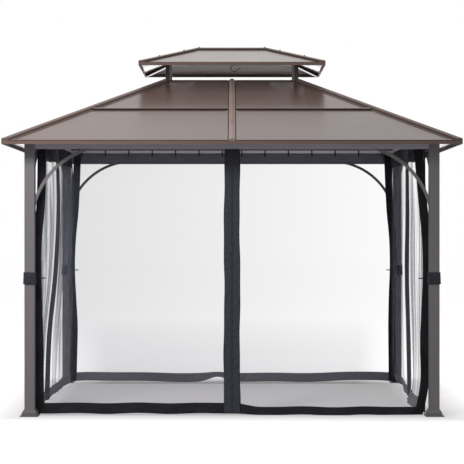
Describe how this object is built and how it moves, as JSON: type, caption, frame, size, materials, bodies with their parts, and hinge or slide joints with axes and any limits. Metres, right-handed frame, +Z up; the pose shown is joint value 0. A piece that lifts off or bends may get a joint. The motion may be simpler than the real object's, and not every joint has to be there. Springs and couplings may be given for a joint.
{
  "type": "metal gazebo",
  "caption": "Free-standing steel gazebo with a vented two-tier hip roof on corner posts, arched braces and zipped mosquito netting on every side.",
  "frame": {"origin": "on the ground, under the middle of the roof", "axes": "+X along the long side to the right, +Y towards the rear, +Z up"},
  "size_m": [3.64, 3.03, 3.12],
  "materials": {
    "post_paint": "satin powder coat, warm grey",
    "frame_paint": "satin powder coat, dark grey",
    "roof_paint": "satin painted sheet, grey brown",
    "trim_paint": "satin painted fold, grey brown",
    "net_mesh": "open mosquito mesh",
    "net_band": "woven tape, near black",
    "hook_steel": "satin coat"
  },
  "bodies": {
    "root": {"beam_front": "frame_paint", "beam_left": "frame_paint", "beam_rear": "frame_paint", "beam_right": "frame_paint", "braces_front": "frame_paint", "braces_left": "frame_paint", "braces_rear": "frame_paint", "braces_right": "frame_paint", "foot_front_left": "post_paint", "foot_front_right": "post_paint", "foot_rear_left": "post_paint", "foot_rear_right": "post_paint", "hip_rafters": "frame_paint", "lamp_hook": "hook_steel", "lower_eave_trims": "trim_paint", "lower_hip_caps": "trim_paint", "lower_panels_front": "roof_paint", "lower_panels_left": "roof_paint", "lower_panels_rear": "roof_paint", "lower_panels_right": "roof_paint", "middle_rafters": "frame_paint", "net_bands_front": "net_band", "net_bands_left": "net_band", "net_bands_rear": "net_band", "net_bands_right": "net_band", "net_mesh_front": "net_mesh", "net_mesh_left": "net_mesh", "net_mesh_rear": "net_mesh", "net_mesh_right": "net_mesh", "net_rails": "frame_paint", "post_front_left": "post_paint", "post_front_right": "post_paint", "post_rear_left": "post_paint", "post_rear_right": "post_paint", "post_straps": "net_band", "roof_ribs": "trim_paint", "upper_eave_trims": "trim_paint", "upper_hip_caps": "trim_paint", "upper_panel_front": "roof_paint", "upper_panel_left": "roof_paint", "upper_panel_rear": "roof_paint", "upper_panel_right": "roof_paint", "upper_rafters": "frame_paint", "upper_ridge_cap": "trim_paint", "vent_frame": "frame_paint", "vent_posts": "frame_paint"}
  },
  "joints": []
}
